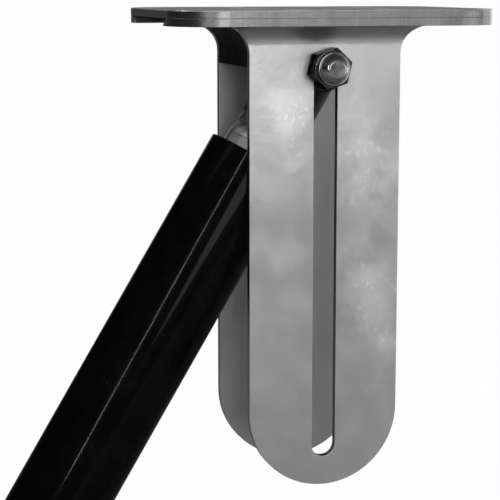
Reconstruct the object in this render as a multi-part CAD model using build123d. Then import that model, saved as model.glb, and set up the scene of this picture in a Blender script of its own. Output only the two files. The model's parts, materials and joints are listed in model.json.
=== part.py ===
"""Bow roller: a bent stainless bracket that hangs under a mounting plate, with a pivoting roller arm.

The frame: origin at the centre of the mounting plate's top face, +Z up, X along the cheeks' faces,
Y across the two cheeks. The front cheek is the one at -Y. All lengths are in millimetres.
"""
from build123d import *
import math
import os

# ---- mounting plate and the two bent cheeks ----
PLATE_X = 172.0                      # plate length, along the cheeks' faces
PLATE_Y = 130.0                      # plate depth, across the cheeks
PLATE_CORNER_R = 25.0
SHEET = 4.0                          # thickness of the plate and of the bent sheet
EDGE_BREAK = 0.5                     # small bevel left on the sheet edges
CHEEK_WIDTH = 82.0
CHEEK_OUTER_Y = 31.0                 # outer face of each cheek, from the middle
CHEEK_TIP_Z = -252.0                 # lowest point of the rounded cheek end
BEND_R = 10.0                        # inside radius of the flange bend
FLARE_R = 15.0                       # round between the cheek's side edge and its flange
SLOT_WIDTH = 13.0
SLOT_TRAVEL = 200.0
MOUNT_SPACING_X = 124.0
MOUNT_SPACING_Y = 100.0
MOUNT_HOLE_R = 4.5

# ---- pivot ----
BOLT_Z = -30.0                       # pivot axis at the top of the slot
BOLT_R = 6.0
BOLT_END_BREAK = 1.0                 # bevel on the bolt's end
BOLT_END_INSET = 1.0                 # the bolt stops this far inside the nut's collar
HEX_FLATS = 19.0                     # across flats, bolt head and nut
HEX_TURN = 17.0                      # how far the nut's hexagon is turned, in degrees
HEX_CROWN_DROP = 0.9                 # crown bevel on hexagon corners, along the axis
HEX_CROWN_REACH = 1.5                # crown bevel on hexagon corners, across the axis
HEAD_HEIGHT = 7.5
RUNNING = 0.05                       # radial clearance of turning and fitted pieces
SIDE_GAP = 0.15                      # gap between the sliding pieces and the cheeks
WASHER_R = 12.0
WASHER_THICK = 2.5
NUT_HEX_HEIGHT = 11.4
NUT_COLLAR_R = 8.75
NUT_COLLAR_HEIGHT = 13.6
NUT_COLLAR_ROUND = 0.5
NUT_POCKET = 1.6                     # depth of the nylon ring's seat below the hexagon's top
NYLON_RING_HEIGHT = 2.4
NUT_DOME_R = 7.8
NUT_DOME_HEIGHT = 18.0
NUT_DOME_FLAT_R = 4.2
DOME_SEAT = 0.9                      # foot of the dome above the hexagon's top
DOME_SPRING = 0.6                    # the dome's curve starts this far below the collar's rim
DOME_WALL = 0.8
BUSH_R = 8.0
BUSH_PROUD = 0.2                     # the bush stands this far out of the eye on each side
SPACER_R = 13.0
SPACER_BREAK = 0.8
SPACER_GAP = 0.25                    # gap between a spacer and the eye

# ---- arm and roller, measured down the arm from the pivot axis ----
ARM_ANGLE = 31.0                     # lean of the arm from vertical, towards -X
EYE_R = 18.2                         # the eye is a round bar with two flat sides
EYE_HALF_Y = 16.0
EYE_ROUND = 1.2
EYE_END = 37.0
SPIGOT_R = 13.75
SPIGOT_END = 78.0
NECK_RING_R = 18.0
NECK_RING_ROUND = 0.8
END_GAP = 0.1                        # gap between pieces that butt together along the arm
SHOULDER_START = 43.5
SHOULDER_TOP_R = 16.9                # the shoulder curves in to this radius
TUBE_R = 19.05
TUBE_WALL = 2.5
TUBE_START = 51.0
TUBE_END = 308.5
SLEEVE_R = 25.4
SLEEVE_BORE_R = 21.55
SLEEVE_START = 56.5
SLEEVE_END = 306.5
BEARING_LENGTH = 24.0
BEARING_RECESS = 0.6                 # the bearing's outer end sits just inside the sleeve
BEARING_BREAK = 0.6
BEARING_CLEARANCE = 0.08             # radial clearance of the bearings on the tube
PRESS_CLEARANCE = 0.02               # radial clearance of pressed pieces
COLLAR_LENGTH = 7.0
COLLAR_CLEARANCE = 0.25              # radial clearance of the thrust collars in the sleeve
THRUST_GAP = 0.3                     # end play of the roller on each thrust collar
SLEEVE_ROUND = 0.6
PIN_R = 3.0
PIN_AT = 70.0
PIN_SHORT = 0.8                      # the pin is this much shorter than the tube's diameter
END_PLUG_LENGTH = 26.0
END_WASHER_R = 23.15
END_WASHER_THICK = 3.0
END_WASHER_BREAK = 0.5
END_BOLT_R = 5.0
END_BOLT_FLATS = 17.0
END_BOLT_HEAD = 6.4
END_BOLT_LENGTH = 24.0
SEAT_GAP = 0.05                      # gap under the end washer and under its bolt's head

# ---- stop blocks and small screws ----
STOP_INNER_X = 25.0
STOP_BOTTOM_Z = BOLT_Z + 0.7
STOP_SCREW_X = 34.0
STOP_SCREW_Y = 14.0
STOP_SCREW_LENGTH = 18.0
STOP_SIDE_GAP = 0.1                  # gap between a stop block and the cheeks
STOP_SCREW_CLEARANCE = 0.2
INSERT_R = 4.5
INSERT_LENGTH = 14.0
PLATE_SCREW_X = 24.0
PLATE_SCREW_Y = 53.0
SCREW_R = 3.0
SCREW_HEAD_R = 5.9
SCREW_SOCKET_FLATS = 4.0
SCREW_SOCKET_DEPTH = 2.0
SCREW_TIP_BREAK = 0.6
PLATE_SCREW_LENGTH = 7.8

CHEEK_HALF = CHEEK_WIDTH / 2
CHEEK_INNER_Y = CHEEK_OUTER_Y - SHEET
FLANGE_BOTTOM_Z = -2 * SHEET
CONE_DEPTH = SCREW_HEAD_R - SCREW_R
HEAD_SIDE_Y = CHEEK_OUTER_Y + SIDE_GAP
NUT_SIDE_Y = -CHEEK_OUTER_Y - SIDE_GAP


# ---- shared shapes ----
def plan_outline():
    """Rounded rectangle of the mounting plate."""
    return RectangleRounded(PLATE_X, PLATE_Y, PLATE_CORNER_R)


def cheek_front_outline():
    """Front view of a cheek: the flange on top, flared rounds, and a half-round bottom."""
    half = CHEEK_HALF
    flare_x = half + FLARE_R
    flare_z = FLANGE_BOTTOM_Z - FLARE_R
    dip = FLARE_R * math.sqrt(0.5)
    arc_mid_x = flare_x - dip
    arc_mid_z = flare_z + dip
    round_z = CHEEK_TIP_Z + half
    end_x = PLATE_X / 2
    top_left = (-end_x, -SHEET)
    outline = Polyline(top_left, (end_x, -SHEET), (end_x, FLANGE_BOTTOM_Z), (flare_x, FLANGE_BOTTOM_Z))
    outline += ThreePointArc((flare_x, FLANGE_BOTTOM_Z), (arc_mid_x, arc_mid_z), (half, flare_z))
    outline += Line((half, flare_z), (half, round_z))
    outline += ThreePointArc((half, round_z), (0, CHEEK_TIP_Z), (-half, round_z))
    outline += Line((-half, round_z), (-half, flare_z))
    outline += ThreePointArc((-half, flare_z), (-arc_mid_x, arc_mid_z), (-flare_x, FLANGE_BOTTOM_Z))
    outline += Polyline((-flare_x, FLANGE_BOTTOM_Z), (-end_x, FLANGE_BOTTOM_Z), top_left)
    return make_face(Plane.XZ * outline)


def along_y(face, depth):
    """Extrude a face drawn on the XZ plane to both sides of it."""
    return extrude(face, amount=depth, both=True)


def rod_y(radius, y_from, y_to, z=BOLT_Z):
    """Cylinder along Y between two Y positions."""
    length = abs(y_to - y_from)
    middle = (y_from + y_to) / 2
    return Pos(0, middle, z) * Rot(90, 0, 0) * Cylinder(radius, length)


def ring_y(outer_r, inner_r, y_from, y_to):
    """Ring along Y round the pivot axis."""
    return rod_y(outer_r, y_from, y_to) - rod_y(inner_r, y_from - 1, y_to + 1)


def rod_down(radius, start, end):
    """Cylinder on the arm's own axis, between two distances below the pivot."""
    return Pos(0, 0, -(start + end) / 2) * Cylinder(radius, end - start)


def on_arm(shape):
    """Put a piece drawn hanging straight down from the origin on the leaning arm."""
    return Pos(0, 0, BOLT_Z) * Rot(0, ARM_ANGLE, 0) * shape


def mirrored_in_y(shape):
    return mirror(shape, about=Plane.XZ)


def hexagon_prism(flats, height, turn=0.0):
    """Hexagonal prism from Z = 0 up, with its outer corners turned round as on a real nut."""
    corner_r = flats / math.sqrt(3)
    prism = extrude(Rot(0, 0, turn) * RegularPolygon(corner_r, 6), amount=height)
    crown = Pos(0, 0, height / 2) * Cylinder(corner_r, height)
    rims = crown.edges().filter_by(GeomType.CIRCLE)
    crown = chamfer(rims, length=HEX_CROWN_DROP, length2=HEX_CROWN_REACH)
    return prism & crown


def plate_positions():
    """Centres of the four countersunk screws that join the plate to the flanges."""
    return [(sx * PLATE_SCREW_X, sy * PLATE_SCREW_Y) for sx in (-1, 1) for sy in (-1, 1)]


def stop_positions(side):
    """Centres of the two screws of the stop block on one side (-1 left, 1 right)."""
    return [(side * STOP_SCREW_X, sy * STOP_SCREW_Y) for sy in (-1, 1)]


def mount_holes():
    holes = Part()
    for sx in (-1, 1):
        for sy in (-1, 1):
            spot = Pos(sx * MOUNT_SPACING_X / 2, sy * MOUNT_SPACING_Y / 2, -SHEET)
            holes += spot * Cylinder(MOUNT_HOLE_R, 4 * SHEET)
    return holes


def countersunk_screw(length):
    """Flat-head socket screw with its head flush at Z = 0."""
    tip_r = SCREW_R - SCREW_TIP_BREAK
    tip_z = SCREW_TIP_BREAK - length
    profile = Polyline(
        (0, 0), (SCREW_HEAD_R, 0), (SCREW_R, -CONE_DEPTH), (SCREW_R, tip_z), (tip_r, -length),
        (0, -length), (0, 0),
    )
    body = revolve(make_face(Plane.XZ * profile), axis=Axis.Z)
    socket = extrude(RegularPolygon(SCREW_SOCKET_FLATS / math.sqrt(3), 6), amount=-SCREW_SOCKET_DEPTH)
    return body - socket


def screw_hole(depth):
    """Countersunk hole for the flat-head screw, from Z = 0 down."""
    wide = SCREW_HEAD_R + RUNNING
    narrow = SCREW_R + RUNNING
    profile = Polyline(
        (0, 1), (wide, 1), (wide, 0), (narrow, -CONE_DEPTH), (narrow, -depth), (0, -depth), (0, 1),
    )
    return revolve(make_face(Plane.XZ * profile), axis=Axis.Z)


# ---- bracket ----
def top_plate():
    plate = extrude(plan_outline(), amount=-SHEET)
    top_edges = plate.faces().sort_by(Axis.Z)[-1].edges()
    plate = chamfer(top_edges, length=EDGE_BREAK)
    for x, y in plate_positions() + stop_positions(-1) + stop_positions(1):
        plate -= Pos(x, y, 0) * screw_hole(2 * SHEET)
    return plate - mount_holes()


def front_cheek():
    """Bent sheet: a flange under the plate, a bend, and the hanging cheek with its long slot."""
    outer = -CHEEK_OUTER_Y
    inner = -CHEEK_INNER_Y
    bend_y = outer - BEND_R
    bend_z = FLANGE_BOTTOM_Z - BEND_R
    big_r = BEND_R + SHEET
    diagonal = math.sqrt(0.5)
    inside_mid = (bend_y + BEND_R * diagonal, bend_z + BEND_R * diagonal)
    outside_mid = (bend_y + big_r * diagonal, bend_z + big_r * diagonal)
    section = Line((-PLATE_Y / 2, FLANGE_BOTTOM_Z), (bend_y, FLANGE_BOTTOM_Z))
    section += ThreePointArc((bend_y, FLANGE_BOTTOM_Z), inside_mid, (outer, bend_z))
    section += Polyline((outer, bend_z), (outer, CHEEK_TIP_Z), (inner, CHEEK_TIP_Z), (inner, bend_z))
    section += ThreePointArc((inner, bend_z), outside_mid, (bend_y, -SHEET))
    section += Polyline((bend_y, -SHEET), (-PLATE_Y / 2, -SHEET), (-PLATE_Y / 2, FLANGE_BOTTOM_Z))
    sheet = extrude(make_face(Plane.YZ * section), amount=PLATE_X / 2, both=True)
    sheet &= along_y(cheek_front_outline(), PLATE_Y)
    sheet &= extrude(plan_outline(), amount=2 * CHEEK_TIP_Z)
    slot_middle = BOLT_Z - SLOT_TRAVEL / 2
    slot = Pos(0, 0, slot_middle) * (Plane.XZ * (Rot(0, 0, 90) * SlotCenterToCenter(SLOT_TRAVEL, SLOT_WIDTH)))
    sheet -= along_y(slot, PLATE_Y)
    for x, y in plate_positions():
        sheet -= Pos(x, y, 0) * Cylinder(SCREW_R + RUNNING, 6 * SHEET)
    return sheet - mount_holes()


def rear_cheek():
    return mirrored_in_y(front_cheek())


def plate_screws():
    screws = [Pos(x, y, 0) * countersunk_screw(PLATE_SCREW_LENGTH) for x, y in plate_positions()]
    return Compound(children=screws)


def stop_block(side):
    """Rubber block under the plate that fills the gap between the cheeks on one side of the pivot."""
    flare = along_y(cheek_front_outline(), CHEEK_INNER_Y - STOP_SIDE_GAP)
    reach = PLATE_X / 2 - STOP_INNER_X
    height = -SHEET - STOP_BOTTOM_Z
    keep_x = side * (STOP_INNER_X + reach / 2)
    keep = Pos(keep_x, 0, -SHEET - height / 2) * Box(reach, PLATE_Y, height)
    wing = Pos(side * (CHEEK_HALF + FLARE_R + PLATE_X / 2), 0, 0) * Box(PLATE_X, PLATE_Y, PLATE_Y)
    block = (flare & keep) - wing
    for x, y in stop_positions(side):
        block -= Pos(x, y, -SHEET - INSERT_LENGTH / 2) * Cylinder(INSERT_R, INSERT_LENGTH)
        block -= Pos(x, y, -SHEET) * Cylinder(SCREW_R + STOP_SCREW_CLEARANCE, 2 * STOP_SCREW_LENGTH)
    return block


def left_stop_block():
    return stop_block(-1)


def right_stop_block():
    return stop_block(1)


def stop_inserts():
    """Threaded brass inserts moulded into the two stop blocks."""
    insert = Cylinder(INSERT_R, INSERT_LENGTH) - Cylinder(SCREW_R + RUNNING, 2 * INSERT_LENGTH)
    inserts = []
    for x, y in stop_positions(-1) + stop_positions(1):
        inserts.append(Pos(x, y, -SHEET - INSERT_LENGTH / 2) * insert)
    return Compound(children=inserts)


def stop_screws():
    screws = []
    for x, y in stop_positions(-1) + stop_positions(1):
        screws.append(Pos(x, y, 0) * countersunk_screw(STOP_SCREW_LENGTH))
    return Compound(children=screws)


# ---- pivot pieces that slide along the slots ----
def pivot_bolt():
    head_y = HEAD_SIDE_Y + WASHER_THICK
    end_y = NUT_SIDE_Y - NUT_COLLAR_HEIGHT + BOLT_END_INSET
    shank = rod_y(BOLT_R, head_y, end_y)
    shank = chamfer(shank.edges().sort_by(Axis.Y)[0], length=BOLT_END_BREAK)
    head = hexagon_prism(HEX_FLATS, HEAD_HEIGHT)
    return shank + Pos(0, head_y, BOLT_Z) * Rot(-90, 0, 0) * head


def head_washer():
    return ring_y(WASHER_R, BOLT_R + RUNNING, HEAD_SIDE_Y, HEAD_SIDE_Y + WASHER_THICK)


def nut_frame(shape):
    """Place a piece drawn from Z = 0 up on the nut's seat, pointing out of the front cheek."""
    return Pos(0, NUT_SIDE_Y, BOLT_Z) * Rot(90, 0, 0) * shape


def cap_nut():
    """Hexagon nut with a rolled collar that holds the nylon ring and the domed cap."""
    body = hexagon_prism(HEX_FLATS, NUT_HEX_HEIGHT, turn=HEX_TURN)
    collar = Pos(0, 0, NUT_COLLAR_HEIGHT / 2) * Cylinder(NUT_COLLAR_R, NUT_COLLAR_HEIGHT)
    rim = collar.edges().filter_by(GeomType.CIRCLE).sort_by(Axis.Z)[-1]
    body += fillet(rim, radius=NUT_COLLAR_ROUND)
    body -= Cylinder(BOLT_R + RUNNING, 4 * NUT_COLLAR_HEIGHT)
    pocket_height = NUT_COLLAR_HEIGHT - NUT_HEX_HEIGHT + NUT_POCKET
    body -= Pos(0, 0, NUT_COLLAR_HEIGHT - pocket_height / 2) * Cylinder(NUT_DOME_R + RUNNING, pocket_height)
    return nut_frame(body)


def nut_insert():
    middle = NUT_HEX_HEIGHT - NUT_POCKET + NYLON_RING_HEIGHT / 2
    ring = Cylinder(NUT_DOME_R, NYLON_RING_HEIGHT) - Cylinder(BOLT_R + RUNNING, 2 * NYLON_RING_HEIGHT)
    return nut_frame(Pos(0, 0, middle) * ring)


def cap_dome():
    """Thin pressed cap over the bolt's end, with a small flat on top."""
    low = NUT_HEX_HEIGHT + DOME_SEAT
    spring = NUT_COLLAR_HEIGHT - DOME_SPRING

    def section(inset):
        top = NUT_DOME_HEIGHT - inset
        side = NUT_DOME_R - inset
        flat = NUT_DOME_FLAT_R - inset / 2
        line = Polyline((0, low - inset), (side, low - inset), (side, spring))
        line += TangentArc((side, spring), (flat, top), tangent=(0, 1))
        line += Polyline((flat, top), (0, top), (0, low - inset))
        return revolve(make_face(Plane.XZ * line), axis=Axis.Z)

    return nut_frame(section(0.0) - section(DOME_WALL))


def pivot_bush():
    half = EYE_HALF_Y + BUSH_PROUD
    return ring_y(BUSH_R, BOLT_R + RUNNING, -half, half)


def front_spacer():
    outer = -CHEEK_INNER_Y + SIDE_GAP
    inner = -EYE_HALF_Y - SPACER_GAP
    spacer = ring_y(SPACER_R, BOLT_R + RUNNING, outer, inner)
    rims = spacer.edges().filter_by(GeomType.CIRCLE).filter_by(lambda edge: edge.radius > BUSH_R)
    return chamfer(rims, length=SPACER_BREAK)


def rear_spacer():
    return mirrored_in_y(front_spacer())


# ---- arm pieces that swing on the pivot ----
def eye_end():
    """Moulded eye: a round bar with flat sides and a rounded top, bored for the bush, with a spigot below."""
    flat_sided = Rot(90, 0, 0) * Cylinder(EYE_R, 2 * EYE_HALF_Y)
    flat_sided += Pos(0, 0, -EYE_END / 2) * Box(2 * EYE_R, 2 * EYE_HALF_Y, EYE_END)
    head = rod_down(EYE_R, -EYE_R, EYE_END) & flat_sided
    side_rims = [edge for edge in head.edges() if abs(abs(edge.center().Y) - EYE_HALF_Y) < RUNNING]
    head = fillet(side_rims, radius=EYE_ROUND)
    body = head + rod_down(SPIGOT_R, EYE_END, SPIGOT_END)
    body -= Rot(90, 0, 0) * Cylinder(BUSH_R + RUNNING, 4 * EYE_HALF_Y)
    return on_arm(body - pin_hole())


def pin_hole():
    return Pos(0, 0, -PIN_AT) * Rot(0, 90, 0) * Cylinder(PIN_R + RUNNING, 4 * TUBE_R)


def neck_ring():
    """Steel ring on the spigot, between the moulded eye and the tube's shoulder."""
    ring = rod_down(NECK_RING_R, EYE_END + END_GAP, SHOULDER_START - END_GAP)
    ring = fillet(ring.edges().filter_by(GeomType.CIRCLE), radius=NECK_RING_ROUND)
    return on_arm(ring - rod_down(SPIGOT_R + RUNNING, 0, SPIGOT_END))


def tube_shoulder():
    """Steel plug in the tube's upper end, with a rounded shoulder that stands out of the tube."""
    arc_start = (TUBE_R, -TUBE_START + END_GAP)
    arc_end = (SHOULDER_TOP_R, -SHOULDER_START)
    plug_r = TUBE_R - TUBE_WALL - RUNNING
    bore_r = SPIGOT_R + RUNNING
    outline = Polyline((bore_r, arc_end[1]), (bore_r, -SPIGOT_END), (plug_r, -SPIGOT_END))
    outline += Polyline((plug_r, -SPIGOT_END), (plug_r, arc_start[1]), arc_start)
    outline += TangentArc(arc_start, arc_end, tangent=(0, 1))
    outline += Line(arc_end, (bore_r, arc_end[1]))
    plug = revolve(make_face(Plane.XZ * outline), axis=Axis.Z)
    return on_arm(plug - pin_hole())


def spindle_tube():
    """Steel tube inside the roller."""
    bore_r = TUBE_R - TUBE_WALL
    tube = rod_down(TUBE_R, TUBE_START, TUBE_END) - rod_down(bore_r, 0, 2 * TUBE_END)
    return on_arm(tube - pin_hole())


def eye_pin():
    """Cross pin that ties the eye's spigot and the shoulder plug to the tube."""
    pin = Pos(0, 0, -PIN_AT) * Rot(0, 90, 0) * Cylinder(PIN_R, 2 * TUBE_R - PIN_SHORT)
    return on_arm(pin)


def thrust_collars():
    """Two rings fixed on the tube, each facing the inner end of a bearing."""
    inner = TUBE_R + PRESS_CLEARANCE
    outer = SLEEVE_BORE_R - COLLAR_CLEARANCE
    first = SLEEVE_START + BEARING_LENGTH + THRUST_GAP
    second = SLEEVE_END - BEARING_LENGTH - THRUST_GAP - COLLAR_LENGTH
    collars = []
    for start in (first, second):
        ring = rod_down(outer, start, start + COLLAR_LENGTH) - rod_down(inner, 0, 2 * TUBE_END)
        collars.append(on_arm(ring))
    return Compound(children=collars)


def end_plug():
    """Threaded plug in the lower end of the tube."""
    plug = rod_down(TUBE_R - TUBE_WALL - RUNNING, TUBE_END - END_PLUG_LENGTH, TUBE_END)
    return on_arm(plug - rod_down(END_BOLT_R + RUNNING, TUBE_END - END_PLUG_LENGTH - 1, TUBE_END + 1))


def end_washer():
    start = TUBE_END + SEAT_GAP
    washer = rod_down(END_WASHER_R, start, start + END_WASHER_THICK)
    washer = chamfer(washer.edges().filter_by(GeomType.CIRCLE), length=END_WASHER_BREAK)
    return on_arm(washer - rod_down(END_BOLT_R + RUNNING, 0, 2 * TUBE_END))


def end_bolt():
    seat = TUBE_END + END_WASHER_THICK + 2 * SEAT_GAP
    shank = rod_down(END_BOLT_R, seat - END_BOLT_LENGTH, seat)
    head = Pos(0, 0, -seat) * Rot(180, 0, 0) * hexagon_prism(END_BOLT_FLATS, END_BOLT_HEAD)
    return on_arm(shank + head)


# ---- roller pieces that turn on the arm ----
def roller_sleeve():
    sleeve = rod_down(SLEEVE_R, SLEEVE_START, SLEEVE_END)
    sleeve = fillet(sleeve.edges().filter_by(GeomType.CIRCLE), radius=SLEEVE_ROUND)
    return on_arm(sleeve - rod_down(SLEEVE_BORE_R, 0, 2 * TUBE_END))


def bearing(start):
    """Plain bearing bush held in the sleeve, running on the tube."""
    body = rod_down(SLEEVE_BORE_R - PRESS_CLEARANCE, start, start + BEARING_LENGTH - BEARING_RECESS)
    body = chamfer(body.edges().filter_by(GeomType.CIRCLE), length=BEARING_BREAK)
    return on_arm(body - rod_down(TUBE_R + BEARING_CLEARANCE, 0, 2 * TUBE_END))


def upper_bearing():
    return bearing(SLEEVE_START + BEARING_RECESS)


def lower_bearing():
    return bearing(SLEEVE_END - BEARING_LENGTH)


PIECES = [
    top_plate, front_cheek, rear_cheek, plate_screws,
    left_stop_block, right_stop_block, stop_inserts, stop_screws,
    pivot_bolt, head_washer, cap_nut, nut_insert, cap_dome, pivot_bush, front_spacer, rear_spacer,
    eye_end, neck_ring, tube_shoulder, spindle_tube, eye_pin, thrust_collars, end_plug, end_washer, end_bolt,
    roller_sleeve, upper_bearing, lower_bearing,
]

os.makedirs("parts", exist_ok=True)
for piece in PIECES:
    export_step(piece(), os.path.join("parts", piece.__name__ + ".step"))
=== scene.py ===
"""Looks of the bow roller: materials, small surface detail, a pale studio and the camera.

Metres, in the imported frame: origin at the centre of the mounting plate's top face, +Z up, the nut at -Y.
"""

import json
import math

import bpy
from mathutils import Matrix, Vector


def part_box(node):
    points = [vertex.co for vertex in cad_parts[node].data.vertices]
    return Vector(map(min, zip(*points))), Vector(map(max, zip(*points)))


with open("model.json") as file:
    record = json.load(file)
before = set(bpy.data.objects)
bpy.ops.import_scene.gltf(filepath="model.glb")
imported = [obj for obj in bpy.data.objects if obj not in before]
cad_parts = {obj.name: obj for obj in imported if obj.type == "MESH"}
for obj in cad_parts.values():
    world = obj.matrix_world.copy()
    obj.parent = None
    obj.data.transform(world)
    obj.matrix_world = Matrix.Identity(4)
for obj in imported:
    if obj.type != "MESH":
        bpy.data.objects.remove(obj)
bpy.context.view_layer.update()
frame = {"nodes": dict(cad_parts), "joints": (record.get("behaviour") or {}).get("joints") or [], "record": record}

MM = 0.001
JOINTS = {joint["name"]: joint for joint in frame["joints"]}
PIVOT = Vector(JOINTS["arm_swing"]["pos_m"])
ARM_AXIS = Vector(JOINTS["roller_spin"]["axis"]).normalized()
ARM_LEAN = math.atan2(-ARM_AXIS.x, -ARM_AXIS.z)

# ---- camera, as the object is looked at: slightly from the left and from above ----
CAMERA_PLACE = Vector((-0.27595, -0.82399, 0.01272))
CAMERA_TURN = math.radians(16.52)
CAMERA_DIP = math.radians(9.32)
CAMERA_LENS = 116.8
CAMERA_SENSOR = 36.0
CAMERA_NEAR = 0.01

# ---- heights on the bracket, measured from the pivot ----
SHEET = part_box("top_plate")[1].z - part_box("top_plate")[0].z
FLANGE_UNDER_Z = -2 * SHEET - PIVOT.z
BEND_END_Z = FLANGE_UNDER_Z - 10.5 * MM
HANDLED_HIGH = -20 * MM             # handling ripples are full above this height and faint below the next
HANDLED_LOW = -120 * MM
HANDLED_DRIFT = 45 * MM             # how far those two heights wander up and down
INNER_PAINTED_LIGHT_HIGH = -10 * MM          # the inner faces are painted palest above this height, as painted light
INNER_PAINTED_LIGHT_LOW = -80 * MM
MASK_SLACK = 0.2 * MM

# ---- size of a normal's part, from which a face counts as looking that way ----
SIDEWAYS = 0.5
ENDWAYS = 0.6
UPWARDS = 0.9

# ---- depths of the sheet's relief ----
WAVE_DEPTH = 0.05 * MM
RIPPLE_DEPTH = 0.06 * MM
FINE_RIPPLE_DEPTH = 0.035 * MM
GRAIN_DEPTH = 0.0022 * MM
DENT_DEPTH = 0.008 * MM

# ---- limits used by the node helpers ----
NOISE_LOW = 0.3                     # nearly all of a noise texture's values lie between these two
NOISE_HIGH = 0.7
EDGE_START = 0.98                   # agreement of rounded and flat normal where an edge begins and is full
EDGE_FULL = 0.84
BEVEL_SAMPLES = 6
STREAK_SOFTNESS = 0.05

# ---- radius inside which the nut is collar and cap, and outside which it is hexagon ----
COLLAR_R = 8.2 * MM

# ---- reach of the bright worn edges of turned steel pieces ----
TURNED_EDGE = 0.35 * MM

# ---- painted highlight: paler patches on the cheek that stand in for soft reflections: X, Z from the pivot, half width, half height (m), strength ----
PAINTED_HIGHLIGHT_PATCHES = (
    (-0.020, -0.028, 0.013, 0.026, 1.00),
    (0.022, -0.050, 0.020, 0.030, 0.80),
    (-0.020, -0.100, 0.014, 0.032, 0.25),
    (0.027, -0.122, 0.017, 0.038, 1.10),
)

# ---- angles of the sheet's scratches, in radians in the cheek's plane ----
SCRATCH_ANGLES = (0.35, -0.75, 1.25, -0.1)

# ---- stage ----
FLOOR_Z = -0.66
FLOOR_SIZE = 160.0
FLOOR_NEAR = 0.3                    # the floor is dark inside this radius (m) and pale outside the next
FLOOR_FAR = 2.2
FLOOR_DARK = 0.22
FLOOR_PALE = 0.70
FLOOR_SEEN_PLAIN = 0.98             # share of plain white that the camera sees on the floor
BACKDROP = 0.97
WORLD_BRIGHT_SIDE = (0.80, -0.55, 0.25)
WORLD_RAMP = (-0.55, 0.95)          # agreement with the bright side where the ramp starts and ends
WORLD_DIM = 0.012
WORLD_BRIGHT = 0.30
LIGHTS_CENTRE = Vector((0.0, 0.0, -0.13))

# ---- softboxes: name, azimuth, elevation (degrees), distance, width, height (m), power (W) ----
# Azimuth 0 is straight in front (-Y), positive towards +X.
SOFTBOXES = (
    ("key_front", 0.0, 12.0, 1.9, 0.86, 0.85, 12.0),
    ("fill_right", 48.0, 1.0, 1.9, 1.3, 1.0, 6.4),
    ("left_high", -74.0, 44.0, 1.9, 0.9, 0.7, 2.2),
    ("top", 10.0, 78.0, 1.8, 1.4, 1.4, 5.0),
    ("back_right", 112.0, 24.0, 2.0, 1.2, 1.1, 5.0),
    ("back_soft", 168.0, 10.0, 2.2, 1.6, 1.2, 3.4),
    ("back_left", -140.0, 48.0, 2.0, 1.0, 0.7, 5.0),
    ("back_low", 130.0, 1.0, 2.1, 1.2, 0.8, 6.5),
    ("side_right", 92.0, -2.0, 2.0, 0.9, 0.7, 3.5),
    ("line_left", -34.0, 13.0, 1.9, 0.035, 0.7, 3.6),
)


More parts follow.
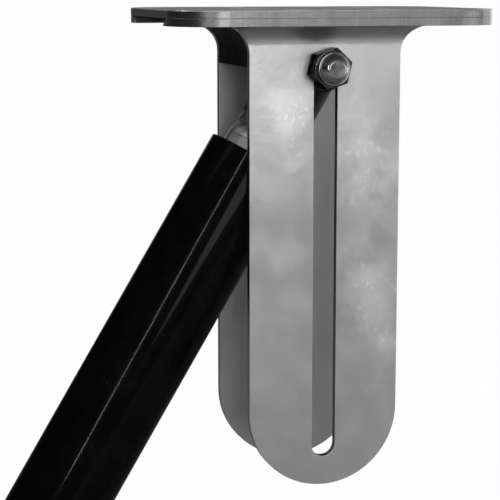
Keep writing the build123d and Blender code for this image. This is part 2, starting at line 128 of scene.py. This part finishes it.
class Graph:
    """A small helper that builds a material's node tree."""

    def __init__(self, name):
        self.material = bpy.data.materials.new(name)
        self.material.use_nodes = True
        self.tree = self.material.node_tree
        self.tree.nodes.clear()
        self.output = self.tree.nodes.new("ShaderNodeOutputMaterial")

    def plug(self, socket, value):
        """Link a socket, or set a plain value on an input."""
        if isinstance(value, bpy.types.NodeSocket):
            self.tree.links.new(value, socket)
        elif value is not None:
            socket.default_value = value

    def node(self, kind, settings=None, inputs=None):
        made = self.tree.nodes.new(kind)
        for key, value in (settings or {}).items():
            setattr(made, key, value)
        for key, value in (inputs or {}).items():
            self.plug(made.inputs[key], value)
        return made

    def coords(self, lean=0.0, stretch=(1.0, 1.0, 1.0), shift=(0.0, 0.0, 0.0)):
        """Object coordinates about the pivot, turned so that Z runs along the arm when lean is given."""
        place = self.node("ShaderNodeTexCoord").outputs["Object"]
        turned = self.turned(self.vector("SUBTRACT", place, tuple(PIVOT)), (0.0, -lean, 0.0))
        inputs = {"Vector": turned, "Scale": stretch, "Location": shift}
        return self.node("ShaderNodeMapping", inputs=inputs).outputs[0]

    def turned(self, vector, angles):
        return self.node("ShaderNodeMapping", inputs={"Vector": vector, "Rotation": angles}).outputs[0]

    def noise(self, vector, scale, detail=3.0, rough=0.55, distortion=0.0):
        return self.node(
            "ShaderNodeTexNoise",
            inputs={
                "Vector": vector,
                "Scale": scale,
                "Detail": detail,
                "Roughness": rough,
                "Distortion": distortion,
            },
        ).outputs["Fac"]

    def cells(self, vector, scale):
        """Voronoi cells: distance to the cell's point and a random value for each cell."""
        made = self.node("ShaderNodeTexVoronoi", inputs={"Vector": vector, "Scale": scale})
        return made.outputs["Distance"], made.outputs["Color"]

    def spread(self, value, low, high, to_low=0.0, to_high=1.0):
        """Map low..high to to_low..to_high, smoothly and clamped."""
        settings = {"interpolation_type": "SMOOTHSTEP", "clamp": True}
        inputs = {"Value": value, "From Min": low, "From Max": high, "To Min": to_low, "To Max": to_high}
        return self.node("ShaderNodeMapRange", settings, inputs).outputs["Result"]

    def vary(self, noise, to_low=0.0, to_high=1.0):
        """Map a noise texture's usual range to to_low..to_high."""
        return self.spread(noise, NOISE_LOW, NOISE_HIGH, to_low, to_high)

    def math(self, operation, a, b=0.0):
        return self.node("ShaderNodeMath", {"operation": operation}, {0: a, 1: b}).outputs[0]

    def vector(self, operation, a, b=None, output=0):
        inputs = {0: a} if b is None else {0: a, 1: b}
        return self.node("ShaderNodeVectorMath", {"operation": operation}, inputs).outputs[output]

    def split(self, vector):
        """The X, Y and Z parts of a vector."""
        return self.node("ShaderNodeSeparateXYZ", inputs={0: vector}).outputs

    def add(self, a, b):
        return self.math("ADD", a, b)

    def times(self, a, b):
        return self.math("MULTIPLY", a, b)

    def largest(self, *values):
        """The largest of several values."""
        result = values[0]
        for value in values[1:]:
            result = self.math("MAXIMUM", result, value)
        return result

    def mix(self, share, a, b):
        """Mix two colours."""
        made = self.tree.nodes.new("ShaderNodeMix")
        made.data_type = "RGBA"
        self.plug(made.inputs["Factor"], share)
        self.plug(made.inputs["A"], a)
        self.plug(made.inputs["B"], b)
        return made.outputs["Result"]

    def rounded_normal(self, radius):
        return self.node("ShaderNodeBevel", {"samples": BEVEL_SAMPLES}, {"Radius": radius}).outputs["Normal"]

    def edge_mask(self, radius):
        """1 on sharp edges within the radius and 0 on plain surfaces."""
        facing = self.vector("DOT_PRODUCT", self.rounded_normal(radius), self.flat_normal(), "Value")
        return self.spread(facing, EDGE_START, EDGE_FULL)

    def flat_normal(self):
        return self.node("ShaderNodeNewGeometry").outputs["Normal"]

    def own_normal(self):
        """X, Y and Z of the normal in the object's own axes, so that masks ride with a moved body."""
        settings = {"vector_type": "NORMAL", "convert_from": "WORLD", "convert_to": "OBJECT"}
        turned = self.node("ShaderNodeVectorTransform", settings, {0: self.flat_normal()}).outputs[0]
        return self.split(turned)

    def bump(self, height, depth, normal):
        """Bump from a 0..1 height, where depth is the height in metres of 1."""
        inputs = {"Height": height, "Distance": depth, "Strength": 1.0, "Normal": normal}
        return self.node("ShaderNodeBump", inputs=inputs).outputs["Normal"]

    def streaks(self, vector, angle, across, along, threshold):
        """Thin straight scratches that run at an angle in the XZ plane: 1 on a scratch, 0 elsewhere."""
        inputs = {"Vector": self.turned(vector, (0.0, angle, 0.0)), "Scale": (across, across, along)}
        field = self.noise(self.node("ShaderNodeMapping", inputs=inputs).outputs[0], 1.0, 2.0, 0.5, 0.15)
        return self.spread(field, threshold, threshold + STREAK_SOFTNESS)

    def finish(self, **inputs):
        shader = self.node("ShaderNodeBsdfPrincipled")
        for key, value in inputs.items():
            self.plug(shader.inputs[key.replace("_", " ")], value)
        self.tree.links.new(shader.outputs[0], self.output.inputs["Surface"])
        return self.material


def grey(value, warm=0.0):
    return (value * (1 + warm), value, value * (1 - warm), 1.0)


# ---- materials ----
def cut_edge_mask(g, place):
    """1 on the cut edges of the sheet and 0 on its rolled faces, from the normal and the height."""
    side_x, side_y, side_z = (g.math("ABSOLUTE", part) for part in g.own_normal())
    height = g.split(place)["Z"]
    in_flange = g.math("GREATER_THAN", height, FLANGE_UNDER_Z - MASK_SLACK)
    in_cheek = g.math("LESS_THAN", height, BEND_END_Z)
    flange_edge = g.times(in_flange, g.math("LESS_THAN", side_z, SIDEWAYS))
    cheek_edge = g.times(in_cheek, g.math("LESS_THAN", side_y, SIDEWAYS))
    end_edge = g.math("GREATER_THAN", side_x, ENDWAYS)
    return g.largest(flange_edge, cheek_edge, end_edge)


def inner_face_mask(g, place):
    """1 on the cheek faces that look at each other, 0 elsewhere."""
    towards = g.own_normal()["Y"]
    spot = g.split(place)
    inward = g.math("LESS_THAN", g.times(g.math("SIGN", spot["Y"]), towards), -SIDEWAYS)
    return g.times(inward, g.math("LESS_THAN", spot["Z"], BEND_END_Z))


def seat_mask(g):
    """1 on faces that look straight up, which is the plate's mounting face."""
    return g.math("GREATER_THAN", g.own_normal()["Z"], UPWARDS)


def painted_highlight_patches(g, place):
    """Soft broken patches of painted highlight on the sheet: 1 in the middle of a patch and 0 outside."""
    flat = g.vector("MULTIPLY", place, (1.0, 0.0, 1.0))
    patches = []
    for x, z, half_wide, half_high, strength in PAINTED_HIGHLIGHT_PATCHES:
        moved = g.vector("SUBTRACT", flat, (x, 0.0, z))
        sized = g.vector("MULTIPLY", moved, (1 / half_wide, 0.0, 1 / half_high))
        reach = g.vector("LENGTH", sized, output="Value")
        ragged = g.add(reach, g.vary(g.noise(place, 55.0, 3.0, 0.55), -0.35, 0.35))
        patches.append(g.spread(ragged, 0.15, 1.25, strength, 0.0))
    return g.largest(*patches)


def sheet_scratches(g):
    """Short straight scratches at four angles, each set kept to its own loose areas."""
    sets = []
    for index, angle in enumerate(SCRATCH_ANGLES):
        streak = g.streaks(g.coords(shift=(0.31 * index, 0.17, 0.07 * index)), angle, 1500.0, 70.0, 0.69)
        area = g.spread(g.noise(g.coords(shift=(0.0, 0.5 * index, 0.9)), 30.0, 2.0), 0.50, 0.68)
        sets.append(g.times(streak, area))
    return g.largest(*sets)


def sheet_pits(g, place):
    """Small round pits, in about one cell out of six."""
    distance, value = g.cells(place, 190.0)
    return g.times(g.spread(distance, 0.16, 0.06), g.spread(value, 0.80, 0.86))


def cut_drag(g, cut):
    """Fine drag lines left across the cut edges by the cutting."""
    drag_down = g.noise(g.coords(stretch=(1.0, 1.0, 0.05)), 1500.0, 2.0, 0.6)
    drag_across = g.noise(g.coords(stretch=(1.0, 0.05, 1.0)), 1500.0, 2.0, 0.6)
    return g.times(g.largest(drag_down, drag_across), cut)


def sheet_relief(g, place, clouds, drag, dents):
    """The sheet's normal: slow waves, handling ripples high on the cheek, grain, drag lines and dents."""
    height = g.split(place)["Z"]
    uneven = g.vary(clouds, -HANDLED_DRIFT, HANDLED_DRIFT)
    handled = g.spread(g.add(height, uneven), HANDLED_LOW, HANDLED_HIGH, 0.12, 1.0)
    ripple = g.times(g.noise(place, 230.0, 2.0, 0.5, 0.2), handled)
    fine_ripple = g.times(g.noise(place, 620.0, 2.0, 0.6), handled)
    grain = g.noise(g.coords(stretch=(1.0, 1.0, 0.03)), 5200.0, 2.0, 0.5)
    speckle = g.noise(place, 900.0, 2.0, 0.5)
    normal = g.rounded_normal(0.4 * MM)
    normal = g.bump(g.noise(place, 30.0, 1.0, 0.3), WAVE_DEPTH, normal)
    normal = g.bump(ripple, RIPPLE_DEPTH, normal)
    normal = g.bump(fine_ripple, FINE_RIPPLE_DEPTH, normal)
    normal = g.bump(grain, GRAIN_DEPTH, normal)
    normal = g.bump(g.add(speckle, g.times(drag, 3.0)), GRAIN_DEPTH, normal)
    return g.bump(g.times(dents, -1.0), DENT_DEPTH, normal)


def sheet_steel():
    """Satin stainless sheet: smudges, painted highlight patches with painted flecks, short scratches, pits, darker
    cut edges, painted shade on the inner and upward faces, and painted light high on the inner faces.
    """
    g = Graph("stainless_sheet")
    place = g.coords()
    clouds = g.noise(place, 11.0, 2.0, 0.4)
    smudges = g.noise(place, 70.0, 3.0, 0.5)
    scratches = sheet_scratches(g)
    pits = sheet_pits(g, place)
    nicked = g.times(g.edge_mask(0.5 * MM), g.spread(g.noise(place, 420.0, 3.0), 0.35, 0.6, 0.35, 1.0))
    cut = cut_edge_mask(g, place)
    inner = inner_face_mask(g, place)
    # the upward face is darkened in tone below as painted shade, toning down its highlight
    seat = seat_mask(g)
    drag = cut_drag(g, cut)
    outside = g.math("SUBTRACT", 1.0, g.largest(cut, inner))
    painted_highlight = g.times(painted_highlight_patches(g, place), outside)
    # painted highlight: bright painted flecks, kept inside the painted highlight patches
    painted_fleck_field = g.noise(g.coords(stretch=(1.0, 1.0, 0.6)), 360.0, 3.0, 0.6)
    painted_flecks = g.times(g.spread(painted_fleck_field, 0.56, 0.66), painted_highlight)

    tone = g.add(g.vary(clouds, 0.45, 0.49), g.vary(smudges, -0.012, 0.014))
    # the painted highlight patches and their painted flecks make the tone paler
    tone = g.add(tone, g.add(g.times(painted_highlight, 0.17), g.times(painted_flecks, 0.12)))
    # the cut edges are darker in their own colour; the darker inner faces and upward face are painted shade
    for mask, darker in ((cut, 0.31), (inner, 0.09), (seat, 0.17)):
        tone = g.math("SUBTRACT", tone, g.times(mask, darker))
    # painted light: the inner faces are made paler towards the top
    painted_light_high = g.spread(g.split(place)["Z"], INNER_PAINTED_LIGHT_LOW, INNER_PAINTED_LIGHT_HIGH, 0.0, 0.10)
    tone = g.add(tone, g.times(inner, painted_light_high))
    tone = g.add(tone, g.times(g.spread(drag, 0.4, 0.75), 0.07))
    colour = g.mix(tone, grey(0.0), grey(1.0, 0.004))
    colour = g.mix(g.times(scratches, 0.12), colour, grey(0.72))
    colour = g.mix(g.times(pits, 0.45), colour, grey(0.16))
    colour = g.mix(g.times(nicked, 0.25), colour, grey(0.80))

    rough = g.add(g.spread(clouds, 0.35, 0.65, 0.31, 0.33), g.spread(smudges, 0.35, 0.7, -0.015, 0.03))
    for mask, rougher in ((scratches, 0.05), (inner, 0.10), (seat, 0.20)):
        rough = g.add(rough, g.times(mask, rougher))

    metal = g.math("SUBTRACT", g.spread(cut, 0.0, 1.0, 0.88, 1.0), g.times(inner, 0.28))
    normal = sheet_relief(g, place, clouds, drag, g.largest(scratches, pits))
    return g.finish(Base_Color=colour, Metallic=metal, Roughness=rough, Normal=normal, Anisotropic=0.15)


def turned_steel(name, tone, rough, lean=0.0):
    """Machined or drawn stainless: fine tool lines, finger smudges, tiny scratches and bright edges."""
    g = Graph(name)
    place = g.coords(lean)
    clouds = g.noise(place, 140.0, 4.0, 0.6, 0.5)
    fine = g.noise(place, 1400.0, 3.0, 0.6)
    lines = g.noise(g.coords(lean, stretch=(0.04, 0.04, 1.0)), 4200.0, 2.0, 0.5)
    first = g.streaks(place, 0.6, 2600.0, 160.0, 0.68)
    second = g.streaks(place, -0.9, 2600.0, 160.0, 0.69)
    scratches = g.largest(first, second)
    edges = g.edge_mask(TURNED_EDGE)
    shade = g.add(
        g.vary(clouds, tone - 0.05, tone + 0.05),
        g.vary(fine, -0.02, 0.02),
    )
    colour = g.mix(shade, grey(0.0), grey(1.0, 0.004))
    colour = g.mix(g.times(edges, 0.55), colour, grey(0.9))
    colour = g.mix(g.times(scratches, 0.3), colour, grey(0.85))
    gloss = g.vary(clouds, rough * 0.8, rough * 1.25)
    normal = g.rounded_normal(0.9 * TURNED_EDGE)
    normal = g.bump(g.noise(place, 300.0, 2.0), 0.012 * MM, normal)
    normal = g.bump(lines, 0.0016 * MM, normal)
    normal = g.bump(g.times(scratches, -1.0), 0.004 * MM, normal)
    return g.finish(Base_Color=colour, Metallic=1.0, Roughness=gloss, Normal=normal)


def locking_nut():
    """Polished nut with hexagon flats darkened as painted shade, and a brighter rolled collar and cap."""
    g = Graph("nut_steel")
    place = g.coords()
    radius = g.vector("LENGTH", g.vector("MULTIPLY", place, (1.0, 0.0, 1.0)), output="Value")
    hexagon = g.spread(radius, COLLAR_R, COLLAR_R + 0.25 * MM)
    clouds = g.noise(place, 260.0, 4.0, 0.6, 0.6)
    edges = g.edge_mask(0.3 * MM)
    # painted shade: the hexagon flats are darkened in base colour
    shade = g.add(g.spread(hexagon, 0.0, 1.0, 0.39, 0.075), g.vary(clouds, -0.02, 0.03))
    colour = g.mix(shade, grey(0.0), grey(1.0, 0.004))
    colour = g.mix(g.times(edges, 0.6), colour, grey(0.92))
    scratches = g.streaks(place, 0.6, 2600.0, 200.0, 0.68)
    colour = g.mix(g.times(scratches, 0.25), colour, grey(0.8))
    rough = g.add(g.vary(clouds, 0.13, 0.22), g.times(hexagon, 0.03))
    normal = g.rounded_normal(0.3 * MM)
    normal = g.bump(clouds, 0.02 * MM, normal)
    normal = g.bump(g.times(scratches, -1.0), 0.004 * MM, normal)
    # painted shade: a dark specular tint on the hexagon flats
    tint = g.mix(hexagon, grey(1.0), grey(0.25))
    return g.finish(Base_Color=colour, Metallic=1.0, Roughness=rough, Normal=normal, Specular_Tint=tint)


def black_sleeve():
    """Glossy black roller skin: drawn lines along its length, scuffs, dust and a soft waviness."""
    g = Graph("sleeve_black")
    place = g.coords(ARM_LEAN)
    along = g.coords(ARM_LEAN, stretch=(1.0, 1.0, 0.02))
    drawn = g.noise(along, 1300.0, 3.0, 0.6)
    broad = g.noise(g.coords(ARM_LEAN, stretch=(1.0, 1.0, 0.12)), 120.0, 3.0, 0.6, 0.3)
    clouds = g.noise(place, 45.0, 5.0, 0.65, 0.8)
    lengthwise = g.streaks(place, 0.12, 1700.0, 60.0, 0.70)
    slanted = g.streaks(g.coords(ARM_LEAN, shift=(0.4, 0.1, 0.0)), -0.5, 1500.0, 90.0, 0.72)
    scuff = g.times(g.largest(lengthwise, slanted), g.spread(clouds, 0.45, 0.62))
    dust_distance, dust_value = g.cells(place, 650.0)
    dust = g.times(g.spread(dust_distance, 0.22, 0.08), g.spread(dust_value, 0.86, 0.92))
    edges = g.edge_mask(0.6 * MM)
    shade = g.vary(clouds, 0.0016, 0.0036)
    colour = g.mix(shade, grey(0.0), grey(1.0))
    colour = g.mix(g.times(scuff, 0.10), colour, grey(0.22))
    colour = g.mix(g.times(dust, 0.10), colour, grey(0.30))
    colour = g.mix(g.times(edges, 0.05), colour, grey(0.30))
    rough = g.add(g.vary(broad, 0.18, 0.23), g.spread(clouds, 0.4, 0.7, -0.02, 0.03))
    normal = g.rounded_normal(0.5 * MM)
    normal = g.bump(broad, 0.028 * MM, normal)
    normal = g.bump(drawn, 0.0022 * MM, normal)
    normal = g.bump(g.times(scuff, -1.0), 0.006 * MM, normal)
    return g.finish(
        Base_Color=colour, Roughness=rough, Normal=normal, Specular_IOR_Level=0.015,
        Coat_Weight=0.075, Coat_Roughness=0.05, Coat_Normal=normal,
    )


def moulded(name, tone, rough, depth=0.02, lean=0.0, tint=0.0, shine=0.5):
    """Moulded plastic: a fine eroded skin, faint flow marks, scuffed lighter edges."""
    g = Graph(name)
    place = g.coords(lean)
    skin = g.noise(place, 900.0, 3.0, 0.65)
    flow = g.noise(g.coords(lean, stretch=(1.0, 1.0, 0.25)), 110.0, 4.0, 0.6, 1.2)
    scuff = g.times(g.streaks(place, 0.8, 1800.0, 120.0, 0.67), g.spread(flow, 0.45, 0.6))
    edges = g.edge_mask(0.5 * MM)
    colour = g.mix(g.vary(flow), grey(tone * 0.8, tint), grey(tone * 1.25, tint))
    colour = g.mix(g.times(skin, 0.12), colour, grey(min(1.0, tone * 2.2 + 0.02), tint))
    colour = g.mix(g.times(edges, 0.25), colour, grey(min(1.0, tone * 2.5 + 0.06), tint))
    colour = g.mix(g.times(scuff, 0.25), colour, grey(min(1.0, tone + 0.25), tint))
    gloss = g.add(
        g.vary(flow, rough - 0.05, rough + 0.08),
        g.vary(skin, -0.04, 0.05),
    )
    normal = g.rounded_normal(0.6 * MM)
    normal = g.bump(skin, depth * MM, normal)
    normal = g.bump(flow, 0.05 * MM, normal)
    return g.finish(Base_Color=colour, Roughness=gloss, Normal=normal, Specular_IOR_Level=shine)


def rubber():
    """Matt black rubber: stipple, a bloom of pale dust and rubbed edges."""
    g = Graph("rubber_black")
    place = g.coords()
    stipple = g.noise(place, 1500.0, 2.0, 0.5)
    bloom = g.noise(place, 60.0, 5.0, 0.65, 0.6)
    edges = g.edge_mask(0.8 * MM)
    colour = g.mix(g.spread(bloom, 0.35, 0.75), grey(0.0015), grey(0.004, -0.01))
    colour = g.mix(g.times(edges, 0.2), colour, grey(0.03))
    rough = g.vary(bloom, 0.62, 0.80)
    normal = g.rounded_normal(1.0 * MM)
    normal = g.bump(stipple, 0.03 * MM, normal)
    normal = g.bump(g.noise(place, 220.0, 3.0), 0.06 * MM, normal)
    return g.finish(Base_Color=colour, Roughness=rough, Normal=normal, Specular_IOR_Level=0.12)


def copper_alloy(name, light, dark, rough):
    """Machined brass or bronze: tool rings, dull patches and brighter edges."""
    g = Graph(name)
    place = g.coords()
    patina = g.noise(place, 180.0, 5.0, 0.65, 0.7)
    lines = g.noise(g.coords(stretch=(0.05, 1.0, 0.05)), 3600.0, 2.0)
    edges = g.edge_mask(0.3 * MM)
    colour = g.mix(g.spread(patina, 0.35, 0.7), light, dark)
    colour = g.mix(g.times(edges, 0.5), colour, light)
    gloss = g.add(
        g.vary(patina, rough, rough + 0.2),
        g.vary(lines, -0.03, 0.03),
    )
    normal = g.bump(lines, 0.003 * MM, g.rounded_normal(0.25 * MM))
    return g.finish(Base_Color=colour, Metallic=1.0, Roughness=gloss, Normal=normal)


MATERIALS = {
    "brushed_stainless": sheet_steel(),
    "fastener_steel": turned_steel("fastener_steel", 0.36, 0.20),
    "polished_nut": locking_nut(),
    "tube_steel": turned_steel("tube_steel", 0.50, 0.42, lean=ARM_LEAN),
    "black_gloss": black_sleeve(),
    "black_nylon": moulded("nylon_black", 0.003, 0.40, lean=ARM_LEAN, shine=0.14),
    "black_rubber": rubber(),
    "nylon_ring": moulded("nylon_natural", 0.62, 0.38, depth=0.008),
    "acetal": moulded("acetal_natural", 0.72, 0.34, depth=0.008, lean=ARM_LEAN, tint=0.02),
    "bearing_bronze": copper_alloy("bronze", (0.55, 0.38, 0.20, 1.0), (0.25, 0.16, 0.09, 1.0), 0.28),
    "insert_brass": copper_alloy("brass", (0.78, 0.60, 0.30, 1.0), (0.45, 0.33, 0.16, 1.0), 0.24),
}


def dress_cad_nodes():
    """Give each CAD node the material of its slot in the record."""
    for subpart in frame["record"]["subparts"]:
        node = frame["nodes"][subpart["node"]]
        node.data.materials.clear()
        node.data.materials.append(MATERIALS[subpart["material_slot"]])


# ---- stage, light and camera ----
def make_floor():
    """A large pale floor that fills the view behind the object."""
    half = FLOOR_SIZE / 2
    mesh = bpy.data.meshes.new("floor")
    corners = [(x, y, FLOOR_Z) for x, y in ((-half, -half), (half, -half), (half, half), (-half, half))]
    mesh.from_pydata(corners, [], [(0, 1, 2, 3)])
    floor = bpy.data.objects.new("floor", mesh)
    bpy.context.scene.collection.objects.link(floor)
    g = Graph("floor_pale")
    seen = g.node("ShaderNodeLightPath").outputs["Is Camera Ray"]
    spot = g.node("ShaderNodeNewGeometry").outputs["Position"]
    away = g.vector("LENGTH", g.vector("MULTIPLY", spot, (1.0, 1.0, 0.0)), output="Value")
    tone = g.mix(g.spread(away, FLOOR_NEAR, FLOOR_FAR), grey(FLOOR_DARK), grey(FLOOR_PALE))
    matt = g.node("ShaderNodeBsdfDiffuse", inputs={"Color": tone})
    glow = g.node("ShaderNodeEmission", inputs={"Color": grey(1.0), "Strength": 1.0})
    share = g.times(seen, FLOOR_SEEN_PLAIN)
    both = g.node("ShaderNodeMixShader", inputs={0: share, 1: matt.outputs[0], 2: glow.outputs[0]})
    g.tree.links.new(both.outputs[0], g.output.inputs["Surface"])
    mesh.materials.append(g.material)


def make_world():
    """Soft surrounding light for the object, and a plain pale backdrop for the camera."""
    world = bpy.data.worlds.new("studio")
    bpy.context.scene.world = world
    world.use_nodes = True
    tree = world.node_tree
    tree.nodes.clear()
    output = tree.nodes.new("ShaderNodeOutputWorld")
    seen = tree.nodes.new("ShaderNodeLightPath")
    place = tree.nodes.new("ShaderNodeTexCoord")
    bright_side = tree.nodes.new("ShaderNodeVectorMath")
    bright_side.operation = "DOT_PRODUCT"
    bright_side.inputs[1].default_value = Vector(WORLD_BRIGHT_SIDE).normalized()
    ramp = tree.nodes.new("ShaderNodeMapRange")
    ramp.inputs["From Min"].default_value, ramp.inputs["From Max"].default_value = WORLD_RAMP
    ramp.inputs["To Min"].default_value = WORLD_DIM
    ramp.inputs["To Max"].default_value = WORLD_BRIGHT
    lit = tree.nodes.new("ShaderNodeBackground")
    lit.inputs["Color"].default_value = grey(1.0)
    plain = tree.nodes.new("ShaderNodeBackground")
    plain.inputs["Color"].default_value = grey(BACKDROP)
    both = tree.nodes.new("ShaderNodeMixShader")
    tree.links.new(place.outputs["Generated"], bright_side.inputs[0])
    tree.links.new(bright_side.outputs["Value"], ramp.inputs["Value"])
    tree.links.new(ramp.outputs["Result"], lit.inputs["Strength"])
    tree.links.new(seen.outputs["Is Camera Ray"], both.inputs[0])
    tree.links.new(lit.outputs[0], both.inputs[1])
    tree.links.new(plain.outputs[0], both.inputs[2])
    tree.links.new(both.outputs[0], output.inputs["Surface"])


def softbox(name, azimuth, elevation, distance, width, height, power):
    """Rectangular light that faces the object and isn't seen by the camera."""
    data = bpy.data.lights.new(name, "AREA")
    data.shape = "RECTANGLE"
    data.size = width
    data.size_y = height
    data.energy = power
    light = bpy.data.objects.new(name, data)
    bpy.context.scene.collection.objects.link(light)
    a = math.radians(azimuth)
    e = math.radians(elevation)
    out = Vector((math.sin(a) * math.cos(e), -math.cos(a) * math.cos(e), math.sin(e)))
    light.location = LIGHTS_CENTRE + distance * out
    light.rotation_mode = "QUATERNION"
    light.rotation_quaternion = (-out).to_track_quat("-Z", "Y")
    light.visible_camera = False


def make_lights():
    for values in SOFTBOXES:
        softbox(*values)


def make_camera():
    data = bpy.data.cameras.new("camera")
    data.lens = CAMERA_LENS
    data.sensor_width = CAMERA_SENSOR
    camera = bpy.data.objects.new("camera", data)
    bpy.context.scene.collection.objects.link(camera)
    camera.location = CAMERA_PLACE
    level = math.cos(CAMERA_DIP)
    towards = Vector((math.sin(CAMERA_TURN) * level, math.cos(CAMERA_TURN) * level, -math.sin(CAMERA_DIP)))
    camera.rotation_mode = "QUATERNION"
    camera.rotation_quaternion = towards.to_track_quat("-Z", "Y")
    data.clip_start = CAMERA_NEAR
    data.clip_end = 2 * FLOOR_SIZE
    bpy.context.scene.camera = camera


dress_cad_nodes()
make_floor()
make_world()
make_lights()
make_camera()
bpy.context.scene.view_settings.view_transform = "Standard"
